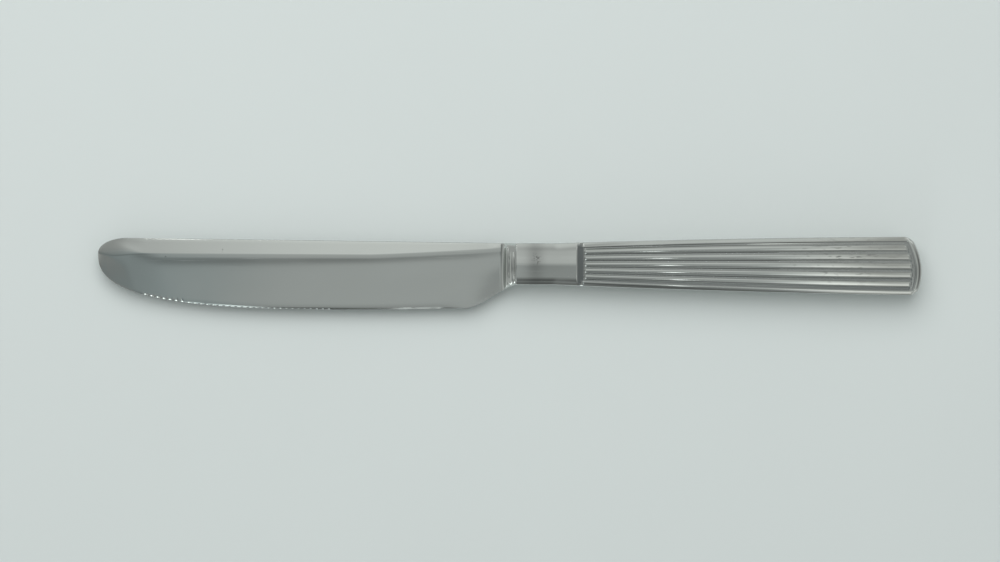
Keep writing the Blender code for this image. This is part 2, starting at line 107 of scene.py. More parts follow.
# Blade, in metres, with slopes and shares as plain numbers
SPINE_HEIGHT = 0.0062
SPINE_ROUND = 0.00028
TIP_HEIGHT = 0.0024
TIP_ROUND = 0.0075
TIP_FACET = 0.00002
TIP_RUN = 0.0120
TIP_THINNING = 0.7
TIP_CREASE_AHEAD = 0.0999
TIP_CREASE_LEAN = 0.35
TIP_CREASE_BEND = 390.0
TIP_CREASE_BEND_FROM = -0.0015
TIP_CREASE_ROUND = 0.0007
TIP_CREASE_TAPER = 55.0
BELLY_DROP = 0.01183
BELLY_AHEAD = 0.0460
BELLY_FULLNESS = 2.78
HEEL_DROP = 0.0113
HEEL_AHEAD = 0.0130
HEEL_RUNOUT = 0.0016
HEEL_THICKNESS = 0.0024
TIP_THICKNESS = 0.0012
HEEL_SLOPE = 0.062
BEVEL_HEIGHT = 0.0024
BEVEL_END_HEIGHT = 0.0043
BEVEL_RUNOUT = 0.0370
BEVEL_EASE = 1.2
BEVEL_STOP = 0.0022
BEVEL_STOP_LENGTH = 0.0050
BEVEL_MIN = 0.0008
BEVEL_SLOPE = 0.0625
RIDGE_ROUND = 0.0005
RIDGE_ROUND_AT_TIP = 0.0030
RIDGE_SHELF = 0.0007
SHELF_SLOPE_SHARE = 0.11
DIP_TURN = 0.0005
DIP_SLOPE_SHARE = 0.22
DIP_TAIL = 0.0055
DIP_FADE = 0.0170
EDGE_BEVEL = 0.00045
EDGE_BEVEL_LEAST = 0.05
EDGE_BEVEL_BELLY = 0.0900
EDGE_BEVEL_HEEL = 0.0090
EDGE_BEVEL_FADE = 0.0110
EDGE_BEVEL_THICKNESS = 0.00036
EDGE_THICKNESS = 0.00014
TOOTH_PITCH = 0.00155
TOOTH_RADIUS = 0.00075
TOOTH_DEPTH = 0.0003
TOOTH_MIDDLE_SHARE = 0.2
TEETH_FROM = 0.0478
TEETH_TO = 0.0958

# The most that a form takes of the blade's depth, its thickness or its bevel, where these run small
EDGE_OF_DEPTH = 0.1
EDGE_BEVEL_OF_BLADE = 0.8
EDGE_OF_BLADE = 0.5
SPINE_ROUND_OF_BEVEL = 0.3
SPINE_ROUND_OF_BLADE = 0.5
RIDGE_OF_BEVEL = 0.7
RIDGE_OF_BEVEL_AT_TIP = 0.95
DIP_OF_FACE = 0.8

# How suddenly the forms under the ridge close up where the face is too short for them
CROWDING_EASE = 4

# The least share of the blade's depth that lies below the ridge
RIDGE_OF_DEPTH = 0.5

# Collar and tang
COLLAR_LENGTH = 0.0024
COLLAR_FILLET = 0.0013
FILLET_EASE = 2
COLLAR_START = 0.0024
COLLAR_END = 0.0033
SHOULDER_LENGTH = 0.0009
SHOULDER_RISE = 0.0003
BEAD_LENGTH = 0.0016
BEAD_HEIGHT = 0.0092
BEAD_MIDDLE = -0.0009
BEAD_RISE = 0.0004
COLLAR_SQUARENESS = 4.0
SPIGOT_LENGTH = 0.0025
SPIGOT_SQUARENESS = 4.0
CEMENT_AROUND_TANG = 0.0012
TANG_HEIGHT = 0.0050
TANG_END_HEIGHT = 0.0036
TANG_TO_BUTT = 0.0390
TANG_END_TAPER = 0.0020
TANG_END_DROP = 0.0009
NOTCH_COUNT = 3
NOTCH_DEPTH = 0.0005
NOTCH_LENGTH = 0.0040

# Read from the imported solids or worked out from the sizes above
ORIGIN = np.array([SHELL_LOW.x - FIT, (SHELL_LOW.y + SHELL_HIGH.y) / 2, SHELL_HIGH.z / 2])
HANDLE_LENGTH = SHELL_HIGH.x - ORIGIN[0]
BLADE_REACH = ORIGIN[0] - BLADE_LOW.x
HALF_THICKNESS = SHELL_HIGH.z / 2
CEILING = HALF_THICKNESS - HANDLE_CROWN - PRESS_DEPTH - GROOVE_WALL
PARTING = BRAZE_THICKNESS / 2 + FIT
RIB_START = NECK_LENGTH + BAND_LENGTH
RIM_START = NECK_LENGTH + RIM_START_BAND
RIB_END = HANDLE_LENGTH - BUTT_RIM_WIDTH - BUTT_GROOVE
TANG_END = HANDLE_LENGTH - TANG_TO_BUTT
TANG_HALF_THICKNESS = CEILING - CEMENT_AROUND_TANG
TOOTH_COUNT = round((TEETH_TO - TEETH_FROM) / TOOTH_PITCH)

# How finely the forms are drawn
EDGE_MARGIN = 0.0001
TOOTH_MARGIN = EDGE_MARGIN / 10
ROUND_STEPS = 6
FLANK_STEPS = 6
CREST_STEPS = 4
NECK_STEPS = 18
RIB_STEPS = 80
TIP_STEPS = 40
TOOTH_STEPS = 14
RUN_STEPS = 60
HEEL_STEPS = 36
FILLET_STEPS = 20
SHOULDER_STEPS = 8
BEAD_STEPS = 16
STRIP_ROWS = 4
RIDGE_ROWS = 6
SHELF_ROWS = 2
DIP_ROWS = 4
TAIL_ROWS = 6
FACE_ROWS = 6
SIDE_ROWS = STRIP_ROWS + RIDGE_ROWS + SHELF_ROWS + DIP_ROWS + TAIL_ROWS + FACE_ROWS
EDGE_ROWS = 4
SHARP_ANGLE = math.radians(30.0)

# A section also has single rows: the middle of the back, the foot of the face and the middle of the edge
SINGLE_ROWS = 3
SECTION_ROWS = ROUND_STEPS + SIDE_ROWS + EDGE_ROWS + SINGLE_ROWS

# Photograph and camera: where the joint of collar and handle lies, the scale and the knife's slight turn
IMAGE_WIDTH, IMAGE_HEIGHT = 1000, 562
JOINT_PIXEL_X, JOINT_PIXEL_Y = 515.0, 264.0
PIXELS_PER_METRE = 3914.0
KNIFE_TURN = math.radians(0.3)
CAMERA_HEIGHT = 0.9
SENSOR_WIDTH = 36.0

# Colours of the materials and tints of the light
BLADE_DARK, BLADE_LIGHT = (0.59, 0.62, 0.595, 1.0), (0.61, 0.64, 0.615, 1.0)
CREST_DARK, CREST_LIGHT = (0.58, 0.61, 0.585, 1.0), (0.62, 0.65, 0.625, 1.0)
# The grooves' dark colour: a dull finish with painted shade in it
GROOVE_DULL_AND_SHADE_COLOUR = (0.205, 0.224, 0.224, 1.0)
STAIN_COLOUR = (0.16, 0.165, 0.16, 1.0)
BRAZE_DARK, BRAZE_LIGHT = (0.60, 0.57, 0.46, 1.0), (0.72, 0.68, 0.55, 1.0)
CEMENT_DARK, CEMENT_LIGHT = (0.36, 0.34, 0.31, 1.0), (0.56, 0.54, 0.50, 1.0)
FLOOR_DARK, FLOOR_LIGHT = (0.655, 0.707, 0.698, 1.0), (0.675, 0.729, 0.719, 1.0)
LIGHT_TINT = (0.98, 1.0, 0.985, 1.0)
COOL_TINT = (0.89, 1.0, 1.02, 1.0)
WARM_TINT = (0.995, 1.0, 0.965, 1.0)

# Patterns. Plain noise is a scale per metre and a detail, with a roughness for the grit. Drawn-out noise
# is a turn, a stretch and a detail. A smooth step is where it starts and ends and what it gives there.
FINE_SCRATCHES = (0.06, (60.0, 2600.0, 60.0), 2.0)
FINE_SCRATCH_STEP = (0.62, 0.8, 0.0, 1.0)
SLANTED_SCRATCHES = (-0.5, (45.0, 1900.0, 45.0), 2.0)
SLANTED_SCRATCH_STEP = (0.66, 0.8, 0.0, 1.0)
SCRATCH_DEPTH = 0.00002
SMEAR_STEP = (0.3, 0.7, 0.0, 1.0)
BLADE_SMEARS = (0.3, (40.0, 90.0, 40.0), 3.0)
BLADE_POLISH = (0.3, 0.7, 0.04, 0.07)
BLADE_SCRATCH_ROUGH = 0.06
BLADE_SCRATCH_BUMP = 0.05
BLADE_GRAIN = (1800.0, 2.0)
BLADE_SPECK_STEP = (0.52, 0.60, 0.0, 0.6)
HANDLE_SMEARS = (0.0, (60.0, 160.0, 60.0), 3.0)
HANDLE_POLISH = (0.0, 1.0, 0.03, 0.35)
HANDLE_SCRATCH_ROUGH = 0.08
HANDLE_SCRATCH_BUMP = 0.06
NECK_GRAIN = (2600.0, 1.0)
NECK_SPECK_STEP = (0.48, 0.55, 0.0, 0.8)
NECK_STREAK_DEPTH = 0.42
NICK_GRAIN = (0.0, (450.0, 2600.0, 450.0), 2.0)
NICK_STEP = (0.58, 0.68, 0.0, 0.75)
BRAZE_MOTTLE = (900.0, 3.0)
BRAZE_POLISH = (0.3, 0.7, 0.22, 0.36)
CEMENT_GRIT = (2400.0, 6.0, 0.7)
CEMENT_ROUGH = (0.2, 0.8, 0.8, 0.95)
CEMENT_BUMP = 0.4
CEMENT_GRIT_DEPTH = 0.0001
FLOOR_SIZE = 12.0
FLOOR_MOTTLE = (14.0, 4.0)
FLOOR_ROUGH = 0.75
FLOOR_SPECULAR = 0.2

# Where the mix node has its colours: two inputs and an output
MIX_FIRST, MIX_SECOND, MIX_RESULT = 6, 7, 2

# Spots on the knife's upper side, in its own frame: middle and width each way
BLADE_SPECKS = ((-0.0885, 0.0015), (0.0045, 0.0006))
BLADE_MARK = ((-0.0748, 0.0031), (0.0008, 0.0014))
NECK_SPECKS = ((0.0056, 0.0014), (0.0024, 0.0032))
NECK_STREAK = ((0.0051, 0.0008), (0.0021, 0.0065))
BUTT_NICKS = ((0.084, 0.0010), (0.011, 0.0050))

# Lamp
LAMP_SIZE = 1.0
LAMP_ENERGY = 5.0
LAMP_PLACE = (-0.12, 0.45, 0.72)

# The room that the steel mirrors: smooth steps over the x, y or z of a direction, and two soft spots
BRIGHT_SIDE = [
    (-0.19, -0.04, 0.36, 0.815),
    (-0.045, 0.012, 0.0, -0.15),
    (0.015, 0.032, 0.0, 0.05),
    (0.09, 0.112, 0.0, -0.28),
    (0.110, 0.117, 0.0, 0.16),
]
DIM_SIDE = [(-0.18, -0.03, 0.31, 0.51), (0.0, 0.012, 0.0, -0.12)]
DIM_SIDE_END = (0.07, 0.095, 1.0, 0.0)
DARK_BAND = ((-0.06, -0.032), (0.090, 0.020))
DARK_BAND_DEPTH = 0.2
DARK_BAND_END = (-0.018, 0.004, 1.0, 0.0)
POINT_END = (-0.125, -0.10, 1.0, 0.0)
HANDLE_START = (0.02, 0.035, 0.0, 1.0)
TURN_BY_POINT = (-0.06, 0.16, 1.0, 0.0)
TURN_BY_BLADE = (-0.025, 0.03, 1.0, 0.0)
TURN_BY_HANDLE = (-0.02, 0.30, 1.0, 0.0)
OFF_TO_A_SIDE = (0.2, 0.4, 0.0, 1.0)
FRONT_SHADE = (-0.60, -0.10, 0.42, 1.0)
BACK_LIFT = (0.08, 0.35, 1.0, 1.2)
BACK_SHADE = (0.35, 0.9, 1.0, 0.85)
PAST_POINT = (-0.35, -0.2, 1.0, 0.0)
PAST_POINT_LEVEL = 0.45
PAST_BUTT = ((0.42, 0.0), (0.22, 0.5))
PAST_BUTT_DEPTH = 0.8
NEAR_FLOOR = (0.28, 0.5, 1.0, 0.0)
NEAR_FLOOR_LEVEL = 0.55
COOL_BY_POINT = (-0.115, -0.065, 1.0, 0.2)
COOL_START = (-0.25, -0.16, 0.0, 1.0)
WARM_START = (0.075, 0.11, 0.0, 1.0)
WARM_END = (0.15, 0.25, 1.0, 0.0)

# Soft spots of the room, lighter or darker: middle in x and y, width each way and strength
SOFT_BOXES = [
    ((0.093, -0.13), (0.020, 0.16), 0.36),
    ((0.108, -0.20), (0.030, 0.11), 0.48),
    ((-0.102, -0.48), (0.015, 0.10), 1.9),
    ((-0.0185, -0.48), (0.0016, 0.10), 1.9),
    ((-0.053, -0.46), (0.020, 0.14), -0.14),
    ((-0.245, -0.92), (0.09, 0.15), 3.0),
    ((0.0475, -0.14), (0.0025, 0.05), 3.2),
    ((-0.0972, 0.60), (0.0014, 0.20), 12.0),
    ((0.012, 0.38), (0.014, 0.22), -0.32),
    ((0.35, 0.40), (0.15, 0.15), 0.8),
    ((-0.06, 0.075), (0.09, 0.02), 0.06),
    ((-0.60, 0.0), (0.35, 0.15), -0.24),
    ((0.35, -0.40), (0.15, 0.15), 0.6),
    ((0.02, -0.46), (0.035, 0.20), -0.12),
    ((0.012, -0.55), (0.030, 0.06), 0.14),
]


def smoothstep(share):
    share = np.clip(share, 0.0, 1.0)
    return share * share * (3.0 - 2.0 * share)


def mix(start, end, share):
    return start + (end - start) * share


def spread(start, end, steps):
    """Even places after a start, the last of them at the end."""
    return [mix(start, end, step / steps) for step in range(1, steps + 1)]


def quarter_round(distance, radius):
    """Rise from 0 to 1 over a quarter round, going in from its foot."""
    reach = np.clip(distance / radius, 0.0, 1.0)
    return np.sqrt(1.0 - (1.0 - reach) ** 2)


def round_insets(radius):
    """Insets from a rounded edge, even in angle, from the edge to where the round ends."""
    turns = np.linspace(0.0, math.pi / 2, ROUND_STEPS + 1)
    return list(radius * (1.0 - np.cos(turns)))


# The handle's plan and its ribbed top


def half_width(along):
    """Half the handle's width: a straight neck, then a gently bowed taper to the butt."""
    share = np.maximum(along - FLARE_START, 0.0) / (HANDLE_LENGTH - FLARE_START)
    return mix(NECK_WIDTH, BUTT_WIDTH, share) / 2 + 4.0 * SIDE_BOW * share * (1.0 - share)


def plan_points(along, across):
    """Bends a square-ended plan to the handle's own, with round corners and a bowed butt."""
    corner_x = HANDLE_LENGTH - BUTT_CORNER
    corner_y = half_width(along) - BUTT_CORNER
    past_x = along - corner_x
    past_y = np.abs(across) - corner_y
    in_corner = (past_x > 0.0) & (past_y > 0.0)
    reach = np.where(in_corner, np.hypot(past_x, past_y), 1.0)
    shrink = np.where(in_corner, np.maximum(past_x, past_y) / reach, 1.0)
    along = np.where(in_corner, corner_x + past_x * shrink, along)
    across = np.where(in_corner, np.sign(across) * (corner_y + past_y * shrink), across)
    fade = smoothstep((along - HANDLE_LENGTH + BUTT_BOW_RUN) / BUTT_BOW_RUN)
    bow = (across + BUTT_PEAK_BELOW_AXIS) ** 2 / (2.0 * BUTT_RADIUS)
    return along - fade * bow, across


def rib_pitch(along):
    return 2.0 * (half_width(along) - RIM_WIDTH) / RIB_COUNT


def rib_taper(along):
    """The ribs' spacing, as a share of that at the butt."""
    return rib_pitch(along) / rib_pitch(HANDLE_LENGTH)


def groove_half(along):
    return GROOVE_FLOOR / 2 * rib_taper(along)


def rib_flank(along):
    return RIB_FLANK * rib_taper(along)


def rounded_inset(inset_a, inset_b, radius):
    """Distance in from a corner's two sides, with the corner itself rounded."""
    near = (inset_a < radius) & (inset_b < radius)
    rounded = radius - np.hypot(radius - inset_a, radius - inset_b)
    return np.where(near, rounded, np.minimum(inset_a, inset_b))


def from_groove(along, across):
    """Distance from the middle of the nearest groove."""
    groove = (across + half_width(along) - RIM_WIDTH) / rib_pitch(along)
    return np.abs(groove - np.round(groove)) * rib_pitch(along)


def from_rib_ends(along):
    """Distance in from the nearer end of the ribs."""
    return np.minimum(along - RIB_START, RIB_END - along)


def rib_share(along):
    """0 where the ribs begin, 1 where they end."""
    return np.clip((along - RIB_START) / (RIB_END - RIB_START), 0.0, 1.0)


def crest_share(along, across):
    """1 on the crests of neck, rims and ribs, 0 on the sunk floor between them."""
    floor = groove_half(along)
    in_neck = NECK_LENGTH - along
    in_side_rim = np.minimum(RIM_WIDTH - floor - (half_width(along) - np.abs(across)), along - RIM_START)
    in_butt_rim = BUTT_RIM_WIDTH - (HANDLE_LENGTH - along)
    in_rib = rounded_inset(from_groove(along, across) - floor, from_rib_ends(along), RIB_END_ROUND)
    inside = np.maximum.reduce([in_neck, in_side_rim, in_butt_rim, in_rib])
    return smoothstep(inside / rib_flank(along))


def dullness_and_painted_shade(along, across):
    """How dark a place is painted, part dull finish and part painted shade: not on the crests, fully in the
    band before the ribs, partly in the grooves, more on the low side away from the light.
    """
    low_side = np.clip(-across / half_width(along), 0.0, 1.0)
    # The low side's grooves get painted shade on top of their dullness
    between_ribs = mix(DULL_AND_SHADE_BY_NECK, DULL_AND_SHADE_BY_BUTT, rib_share(along)) * (1.0 + PAINTED_SHADE_LOW_SIDE * low_side)
    in_band = np.clip((half_width(along) - np.abs(across)) / BAND_CLEAN_ENDS, 0.0, 1.0)
    ends = np.where(along < RIB_START, in_band, DULL_AND_SHADE_END_GROOVE)
    on_ribs = (along > RIB_START) & (along < RIB_END)
    to_rim = half_width(along) - RIM_WIDTH - rib_pitch(along) / 2
    # The top groove by the neck is painted lighter, as it faces the light
    top = np.where((across > to_rim) & on_ribs, mix(PAINTED_SHADE_TOP_GROOVE, 1.0, worn_share(along)), 1.0)
    return (1.0 - crest_share(along, across) ** 2) * np.where(on_ribs, between_ribs, ends) * top


def worn_share(along):
    """How far the ribs are worn flat: not at all by the neck, fully by the butt."""
    return smoothstep((along - WORN_FROM) / (WORN_TO - WORN_FROM))


def rib_rounding(along, across):
    """How far a rib's crest falls away from its own middle line."""
    between_rims = np.abs(across) < half_width(along) - RIM_WIDTH
    off_middle = 1.0 - 2.0 * from_groove(along, across) / rib_pitch(along)
    full = mix(RIB_CROWN, RIB_CROWN_WORN, worn_share(along))
    full = full * smoothstep(from_rib_ends(along) / rib_flank(along))
    return np.where(between_rims, full * off_middle**2, 0.0)


def shell_height(along, across):
    """Height of the handle's outside above the plane of the blade."""
    width = half_width(along)
    from_outline = np.minimum(width - np.abs(across), HANDLE_LENGTH - along)
    into_panel = 1.0 - smoothstep((NECK_LENGTH - along) / rib_flank(along))
    fall = mix(NECK_FALL, mix(RIM_FALL, RIM_FALL_BY_BUTT, rib_share(along)), into_panel)
    fall_width = mix(NECK_FALL_WIDTH, RIM_FALL_WIDTH, into_panel)
    fallen = HANDLE_CROWN * (across / width) ** 2
    fallen = fallen + fall * np.maximum(1.0 - (width - np.abs(across)) / fall_width, 0.0) ** 2
    fallen = fallen + BUTT_FALL * np.maximum(1.0 - (HANDLE_LENGTH - along) / BUTT_FALL_WIDTH, 0.0) ** 2
    fallen = fallen + EDGE_ROUND * (1.0 - quarter_round(from_outline, EDGE_ROUND))
    fallen = fallen + MOUTH_ROUND * (1.0 - quarter_round(along - FIT, MOUTH_ROUND))
    relief = mix(RIB_RELIEF, RIB_RELIEF_WORN, worn_share(along))
    fallen = fallen + relief * (1.0 - crest_share(along, across)) + rib_rounding(along, across)
    return HALF_THICKNESS - fallen


def cavity_height(along, across):
    """Height of the hollow inside a half shell."""
    from_outline = np.minimum(half_width(along) - np.abs(across), HANDLE_LENGTH - along)
    climb = quarter_round(from_outline - SHELL_WALL, CAVITY_ROUND)
    return CEILING - CAVITY_ROUND * (1.0 - climb)


def shell_stations():
    """Distances behind the joint, close together where the handle's form changes."""
    mouth = [FIT + inset for inset in round_insets(MOUTH_ROUND)]
    mouth.append(mouth[-1] + EDGE_MARGIN)
    slope_start = NECK_LENGTH - rib_flank(NECK_LENGTH)
    neck = spread(mouth[-1], slope_start - EDGE_MARGIN, NECK_STEPS) + [slope_start]
    neck += spread(slope_start, NECK_LENGTH, FLANK_STEPS)
    band = spread(NECK_LENGTH, RIB_START, CREST_STEPS)
    rib_front = RIB_START + max(RIB_END_ROUND, rib_flank(RIB_START)) + EDGE_MARGIN
    rib_back = RIB_END - max(RIB_END_ROUND, rib_flank(RIB_END)) - EDGE_MARGIN
    ribs = spread(RIB_START, rib_front, FLANK_STEPS) + spread(rib_front, rib_back, RIB_STEPS)
    ribs += spread(rib_back, RIB_END, FLANK_STEPS)
    rim_foot = HANDLE_LENGTH - BUTT_RIM_WIDTH
    rim_top = rim_foot + rib_flank(rim_foot)
    insets = round_insets(EDGE_ROUND)
    butt = spread(RIB_END, rim_foot, CREST_STEPS) + spread(rim_foot, rim_top, FLANK_STEPS)
    butt += spread(rim_top, HANDLE_LENGTH - insets[-1], CREST_STEPS)
    return mouth + neck + band + ribs + butt + [HANDLE_LENGTH - inset for inset in insets[-2::-1]]


def shell_lines(along):
    """Places across the handle, from one side to the other, close together where it bends."""
    width, pitch = half_width(along), rib_pitch(along)
    floor, flank = groove_half(along), rib_flank(along)
    slope = [floor] + spread(floor, floor + flank, FLANK_STEPS)
    insets = round_insets(EDGE_ROUND)
    insets += spread(insets[-1], RIM_WIDTH - slope[-1], CREST_STEPS)
    insets += [RIM_WIDTH - step for step in slope[-2::-1]]
    half_rib = slope + spread(slope[-1], pitch / 2, CREST_STEPS)
    rib = half_rib + [pitch - step for step in half_rib[-2::-1]] + [pitch]
    first = RIM_WIDTH - width
    ribs = [first + count * pitch + step for count in range(RIB_COUNT) for step in rib][:-1]
    rim = [width - inset for inset in insets]
    return [-place for place in rim] + [first] + ribs + [-first] + rim[::-1]


# The blade's outline and sections


def spine_line(x):
    """The back's height: a straight rise towards the point, ended by a quarter ellipse."""
    rise_end = TIP_ROUND - BLADE_REACH
    line = mix(NECK_WIDTH / 2, SPINE_HEIGHT, x / rise_end)
    return mix(TIP_HEIGHT, line, tip_share(x))


def tip_share(x):
    """0 at the point, rising to 1 where its rounding ends."""
    past = max((TIP_ROUND - BLADE_REACH - x) / TIP_ROUND, 0.0)
    return math.sqrt(max(1.0 - past**2, 0.0))


def edge_line(x):
    """The edge's height: a full round belly, a nearly straight run and an S up to the collar."""
    ahead = -x
    if ahead > BELLY_AHEAD:
        past = (ahead - BELLY_AHEAD) / (BLADE_REACH - BELLY_AHEAD)
        full = (1.0 - past**BELLY_FULLNESS) ** (1.0 / BELLY_FULLNESS)
        return mix(TIP_HEIGHT, -BELLY_DROP, full)
    if ahead > HEEL_AHEAD:
        share = (BELLY_AHEAD - ahead) / (BELLY_AHEAD - HEEL_AHEAD)
        return mix(-BELLY_DROP, -HEEL_DROP, share**2)
    share = smoothstep((HEEL_AHEAD - ahead) / (HEEL_AHEAD + HEEL_RUNOUT))
    return mix(-HEEL_DROP, -NECK_WIDTH / 2, share)


def ridge_line(x):
    """Height of the line where the back's bevel meets the blade's face."""
    climb = min(max(x + BEVEL_RUNOUT, 0.0) / (BEVEL_RUNOUT - BEVEL_STOP), 1.0)
    line = mix(BEVEL_HEIGHT, BEVEL_END_HEIGHT, climb**BEVEL_EASE)
    high = spine_line(x) - BEVEL_MIN * tip_share(x)
    low = mix(edge_line(x), spine_line(x), RIDGE_OF_DEPTH)
    return max(min(line, high), low)


def bevel_share(x):
    """How far the back's bevel is cut: fully along the blade, not at all by the collar."""
    return smoothstep(-(x + BEVEL_STOP) / BEVEL_STOP_LENGTH)


def tooth_bite(x):
    """How far a round tooth gap reaches up into the edge."""
    tooth = round((-x - TEETH_FROM) / TOOTH_PITCH)
    if not 0 <= tooth < TOOTH_COUNT:
        return 0.0
    off = x + TEETH_FROM + tooth * TOOTH_PITCH
    round_top = math.sqrt(max(TOOTH_RADIUS**2 - off**2, 0.0))
    return TOOTH_DEPTH * max(round_top - TOOTH_RADIUS / 2, 0.0) / (TOOTH_RADIUS / 2)


def blade_section(x):
    """Half a blade section, from the back's middle down one side to the edge's middle."""
    top, line, low = spine_line(x), ridge_line(x), edge_line(x)
    thinning = mix(TIP_THINNING, 1.0, tip_share(x))
    thick = mix(HEEL_THICKNESS, TIP_THICKNESS, -x / BLADE_REACH) / 2 * thinning
    ground = EDGE_BEVEL * mix(EDGE_BEVEL_LEAST, 1.0, edge_bevel_share(x))
    sharp = min(ground, EDGE_OF_DEPTH * (top - low))
    face_low = low + sharp
    least = min(EDGE_BEVEL_THICKNESS / 2, EDGE_BEVEL_OF_BLADE * thick)
    side = max(least, thick - HEEL_SLOPE * (line - face_low))
    drop = min((EDGE_BEVEL_THICKNESS - EDGE_THICKNESS) / 2, EDGE_OF_BLADE * thick)
    flat = side - mix(HEEL_SLOPE * EDGE_BEVEL, drop, from_heel(x)) * sharp / EDGE_BEVEL
    corner = min(SPINE_ROUND, SPINE_ROUND_OF_BEVEL * (top - line), SPINE_ROUND_OF_BLADE * thick)
    bite = tooth_bite(x)
    uncut = max(face_low, low + bite + TOOTH_MARGIN)
    face = face_rows(x, face_low, side, line, thick, top - corner)
    face[0] = (uncut, np.interp(uncut, *zip(*face)))
    back = face[-1][1]
    rows = [(top, 0.0)]
    for inset in round_insets(corner)[:-1]:
        rows.append((top - inset, back - corner + corner * quarter_round(inset, corner)))
    rows += face[::-1]
    for height in spread(uncut, low + bite, EDGE_ROWS):
        on_bevel = mix(flat, side, (height - low) / sharp)
        rows.append((height, min(on_bevel, mix(side, thick, (height - face_low) / (line - face_low)))))
    rows.append((low + TOOTH_MIDDLE_SHARE * bite, 0.0))
    return [(y, z * tip_taper(x, y)) for y, z in rows]


def edge_bevel_share(x):
    """How wide the edge is ground: fully along the straight run, fading at the belly and the heel."""
    return smoothstep((x + EDGE_BEVEL_BELLY) / EDGE_BEVEL_FADE) * from_heel(x)


def from_heel(x):
    """0 at the heel, rising to 1 where the edge is fully ground."""
    return smoothstep(-(x + EDGE_BEVEL_HEEL) / EDGE_BEVEL_FADE)


def tip_taper(x, y):
    """How thin the point is ground ahead of a slanted, bent crease: 1 behind it."""
    bend = TIP_CREASE_BEND * max(y - TIP_CREASE_BEND_FROM, 0.0) ** 2
    ahead = -x - TIP_CREASE_AHEAD - TIP_CREASE_LEAN * y - bend
    reach = np.clip(ahead + TIP_CREASE_ROUND, 0.0, 2.0 * TIP_CREASE_ROUND)
    past = max(ahead - TIP_CREASE_ROUND, 0.0)
    return 1.0 - TIP_CREASE_TAPER * (reach**2 / (4.0 * TIP_CREASE_ROUND) + past)


def face_rows(x, low, side, line, thick, high):
    """One side from the edge bevel up to the back's corner.

    The face is straight, dips a little under the ridge, has a narrow shelf there and turns into the back's
    bevel. Where the bevel runs out, the shelf simply goes on up.
    """
    near_tip = 1.0 - smoothstep((x + BLADE_REACH) / TIP_RUN)
    ridge = mix(RIDGE_ROUND, RIDGE_ROUND_AT_TIP, near_tip)
    crowding = (ridge / 2 + RIDGE_SHELF + DIP_TURN + DIP_TAIL) / (DIP_OF_FACE * (line - low))
    room = (1.0 + crowding**CROWDING_EASE) ** (-1.0 / CROWDING_EASE)
    above = min(ridge / 2, RIDGE_OF_BEVEL * (high - line))
    above = mix(above, RIDGE_OF_BEVEL_AT_TIP * (high - line), near_tip)
    shelf_high = line - room * ridge / 2
    shelf_low = shelf_high - room * RIDGE_SHELF
    dip = shelf_low - room * DIP_TURN
    straight = dip - room * DIP_TAIL
    fade = 1.0 - smoothstep((x + BLADE_REACH) / DIP_FADE)
    shelf_share, dip_share = mix(SHELF_SLOPE_SHARE, 1.0, fade), mix(DIP_SLOPE_SHARE, 1.0, fade)
    climb = straight - low + (1.0 + dip_share) / 2 * (dip - straight)
    climb += (dip_share + shelf_share) / 2 * (shelf_low - dip) + shelf_share * (shelf_high - shelf_low)
    rise = (thick - side) * (shelf_high - low) / (line - low)
    slope = rise / climb
    share = bevel_share(x)
    strip_slope = mix(shelf_share * slope, -BEVEL_SLOPE, share)
    spans = [
        (straight, slope, FACE_ROWS),
        (dip, dip_share * slope, TAIL_ROWS),
        (shelf_low, shelf_share * slope, DIP_ROWS),
        (shelf_high, shelf_share * slope, SHELF_ROWS),
        (line + above, strip_slope, RIDGE_ROWS),
        (high, strip_slope, STRIP_ROWS),
    ]
    rows = [(low, side)]
    lean = slope
    for end, end_lean, steps in spans:
        start, start_lean = rows[-1][0], lean
        for height in spread(start, end, steps):
            next_lean = mix(start_lean, end_lean, (height - start) / (end - start))
            rows.append((height, rows[-1][1] + (lean + next_lean) / 2 * (height - rows[-1][0])))
            lean = next_lean
    turn_lean = (SHELF_SLOPE_SHARE * slope - BEVEL_SLOPE) / 2
    cut_back = turn_lean * RIDGE_ROUND - BEVEL_SLOPE * (high - shelf_high - RIDGE_ROUND)
    back = side + rise + mix(shelf_share * slope * (high - shelf_high), cut_back, share)
    heights, depths = np.array(rows).T
    return list(zip(heights, depths + np.interp(heights, [shelf_high, high], [0.0, back - depths[-1]])))


def oval_section(middle, half_height, half_thick, squareness):
    """Half a squared oval, with as many points as a blade section."""
    rows = []
    for turn in np.linspace(0.0, math.pi, SECTION_ROWS):
        lean, swell = math.cos(turn), max(math.sin(turn), 0.0)
        rise = math.copysign(abs(lean) ** (2.0 / squareness), lean)
        rows.append((middle + half_height * rise, half_thick * swell ** (2.0 / squareness)))
    return rows


def collar_section(x, half_thick):
    top, low = spine_line(x), edge_line(x)
    return oval_section((top + low) / 2, (top - low) / 2, half_thick, COLLAR_SQUARENESS)


def collar_thickness(x):
    """Half thickness of the collar: a rounded shoulder, then a slow rise to the handle."""
    share = (x + COLLAR_LENGTH) / COLLAR_LENGTH
    off = (x + COLLAR_LENGTH - SHOULDER_LENGTH / 2) / (SHOULDER_LENGTH / 2)
    return mix(COLLAR_START, COLLAR_END, share) + SHOULDER_RISE * max(1.0 - off**2, 0.0)


def bead_swell(x, y):
    """The oval bead that swells out of the collar against the handle."""
    off_x = (x + BEAD_LENGTH / 2) / (BEAD_LENGTH / 2)
    off_y = (y - BEAD_MIDDLE) / (BEAD_HEIGHT / 2)
    return BEAD_RISE * max(1.0 - off_x**2 - off_y**2, 0.0)


